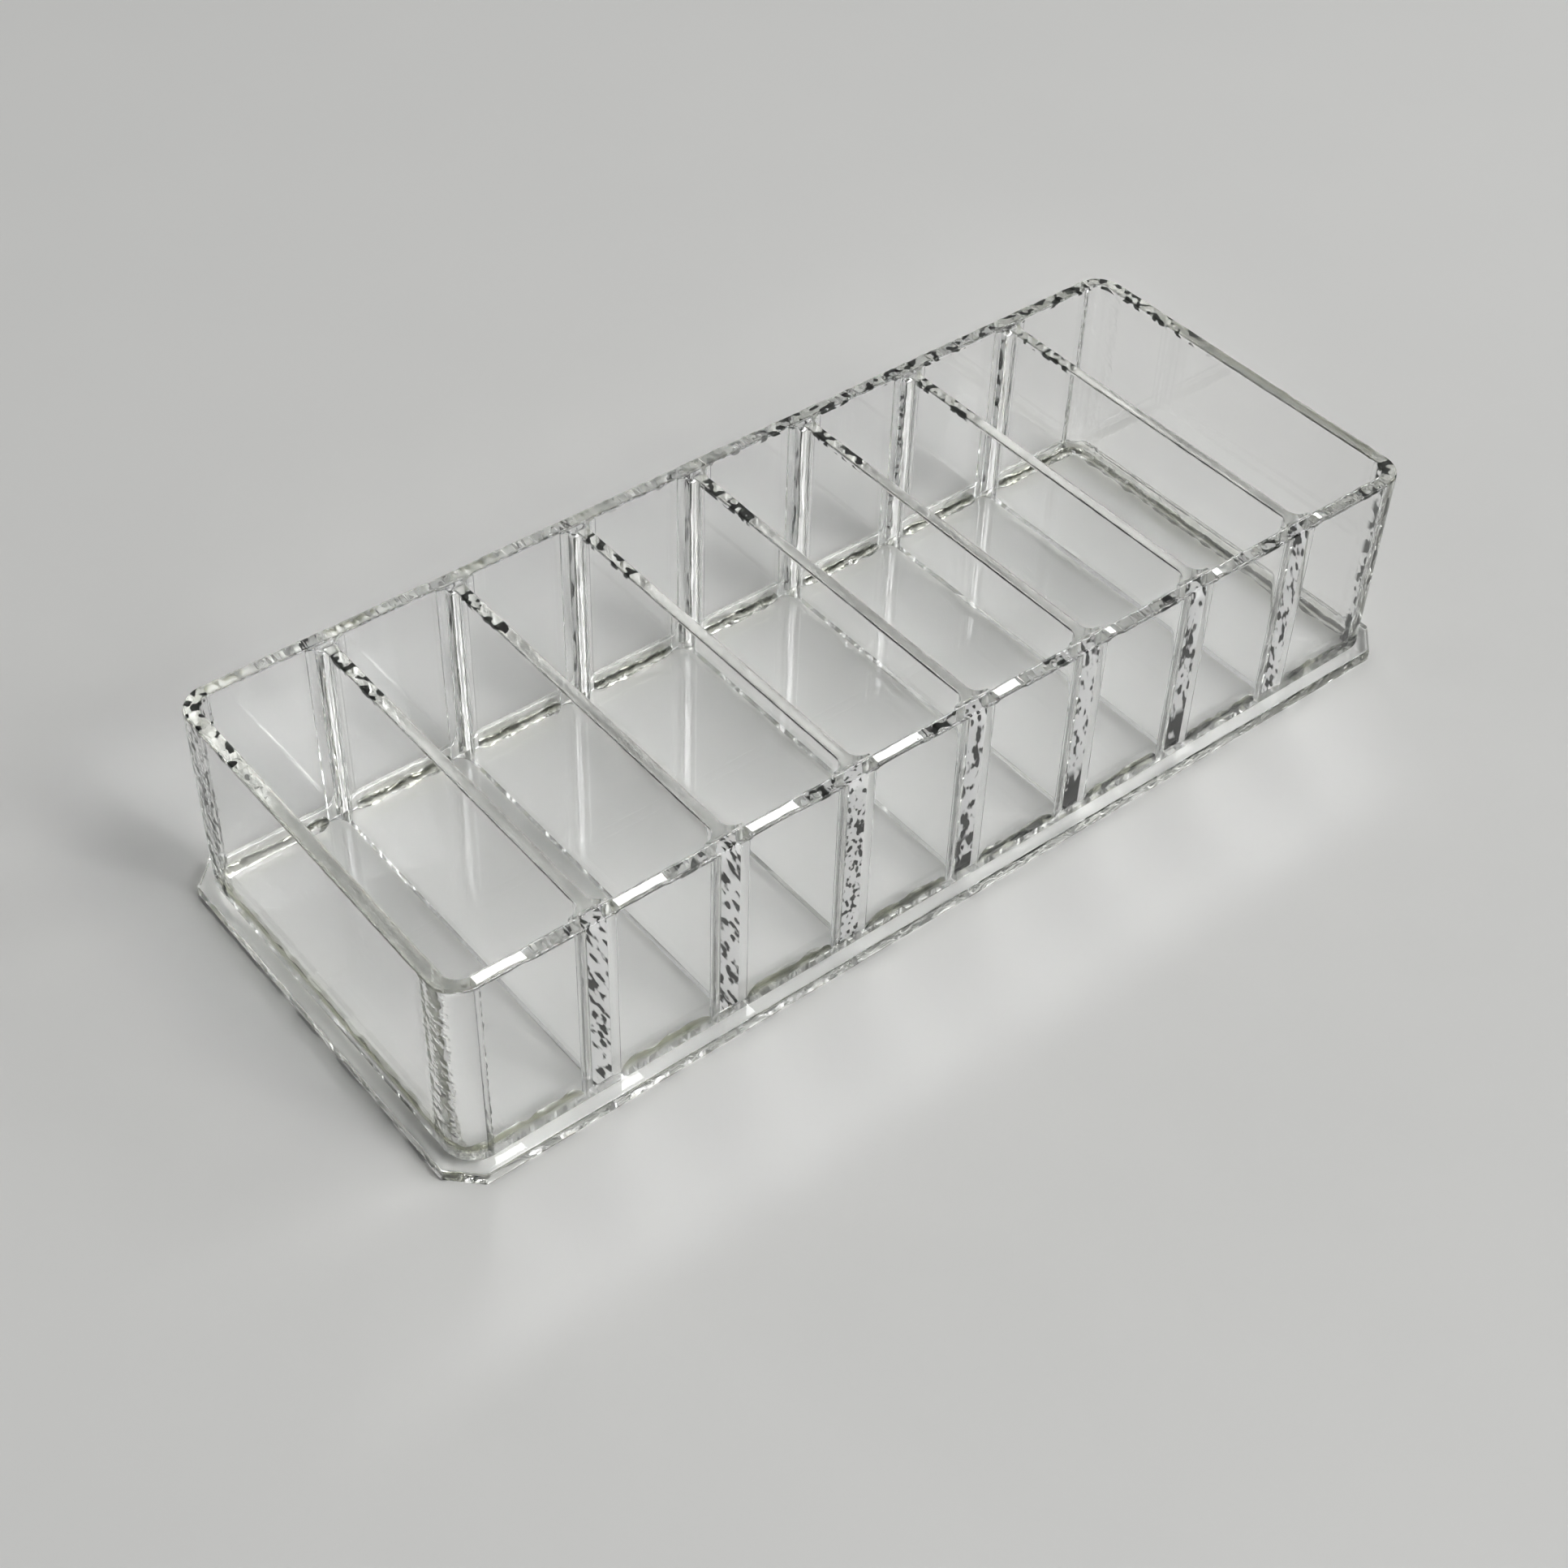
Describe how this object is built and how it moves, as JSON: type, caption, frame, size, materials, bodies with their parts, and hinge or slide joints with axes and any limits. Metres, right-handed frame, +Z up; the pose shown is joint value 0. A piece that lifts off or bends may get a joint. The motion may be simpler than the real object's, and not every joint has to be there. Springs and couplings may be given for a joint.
{
  "type": "vanity organizer",
  "caption": "Clear open-topped tray with a row of equal upright compartments between dividers, on a wider flat base plate, for standing compacts on edge.",
  "frame": {"origin": "centre of the underside of the base plate", "axes": "+Z up, +X along the row of compartments, -Y towards the front long wall"},
  "size_m": [0.229, 0.0926, 0.046],
  "materials": {
    "clear_base": "polished clear acrylic sheet",
    "clear_wall": "polished clear acrylic sheet",
    "clear_divider": "polished clear acrylic sheet"
  },
  "bodies": {
    "root": {"base_plate": "clear_base", "front_wall": "clear_wall", "back_wall": "clear_wall", "left_end_wall": "clear_wall", "right_end_wall": "clear_wall", "divider_1": "clear_divider", "divider_2": "clear_divider", "divider_3": "clear_divider", "divider_4": "clear_divider", "divider_5": "clear_divider", "divider_6": "clear_divider", "divider_7": "clear_divider"}
  },
  "joints": []
}
